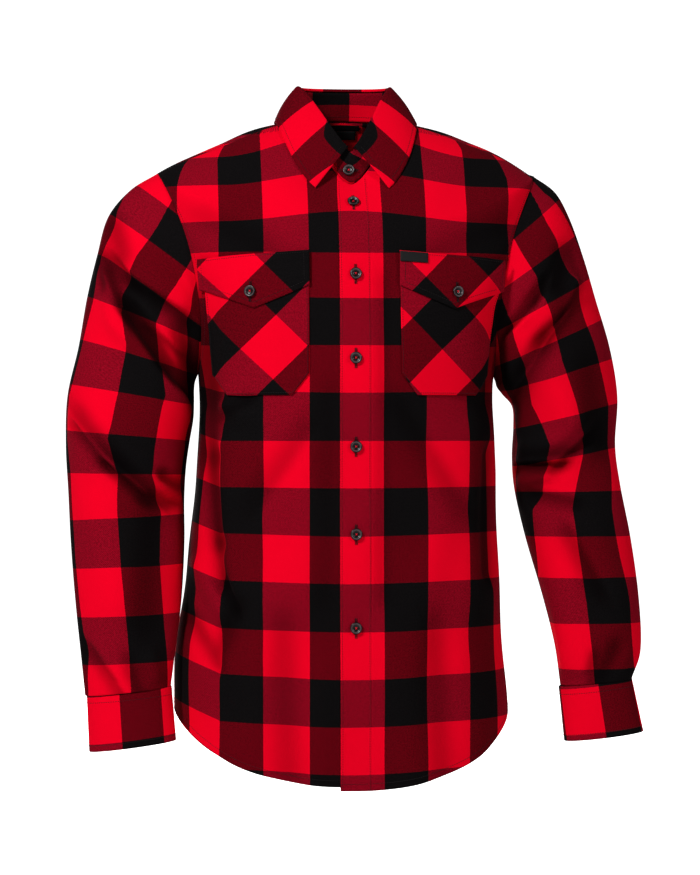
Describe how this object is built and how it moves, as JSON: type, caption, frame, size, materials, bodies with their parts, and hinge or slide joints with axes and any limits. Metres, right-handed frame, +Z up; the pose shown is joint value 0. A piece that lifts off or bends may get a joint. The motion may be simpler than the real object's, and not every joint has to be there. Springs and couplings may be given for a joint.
{
  "type": "flannel shirt",
  "caption": "Long-sleeved flannel shirt, buttoned and filled out as if worn, with a turned-down collar, bias chest pockets under pointed flaps, barrel cuffs and a curved hem.",
  "frame": {"origin": "middle of the neck opening at the height where the shoulder line meets the collar, which is where the wearer's shoulders hold the shirt", "axes": "+Z up, -Y the way the shirt faces, +X towards the wearer's left sleeve (the viewer's right from the front)"},
  "size_m": [0.6872, 0.2742, 0.8549],
  "materials": {
    "flannel": "brushed cotton twill in a red and black buffalo check",
    "woven_label": "close woven ribbon",
    "button": "gloss"
  },
  "bodies": {
    "root": {"front_left": "flannel", "front_right": "flannel", "placket": "flannel", "back": "flannel", "yoke": "flannel", "sleeve_left": "flannel", "sleeve_right": "flannel", "sleeve_placket_left": "flannel", "sleeve_placket_right": "flannel", "cuff_left": "flannel", "cuff_right": "flannel", "collar_stand": "flannel", "collar_leaf": "flannel", "pocket_left": "flannel", "pocket_right": "flannel", "flap_left": "flannel", "flap_right": "flannel", "hanger_loop": "flannel", "flap_tab": "woven_label", "neck_label": "woven_label", "button_front_1": "button", "button_front_2": "button", "button_front_3": "button", "button_front_4": "button", "button_front_5": "button", "button_front_6": "button", "button_stand": "button", "button_pocket_left": "button", "button_pocket_right": "button", "button_cuff_left": "button", "button_cuff_right": "button"}
  },
  "joints": []
}
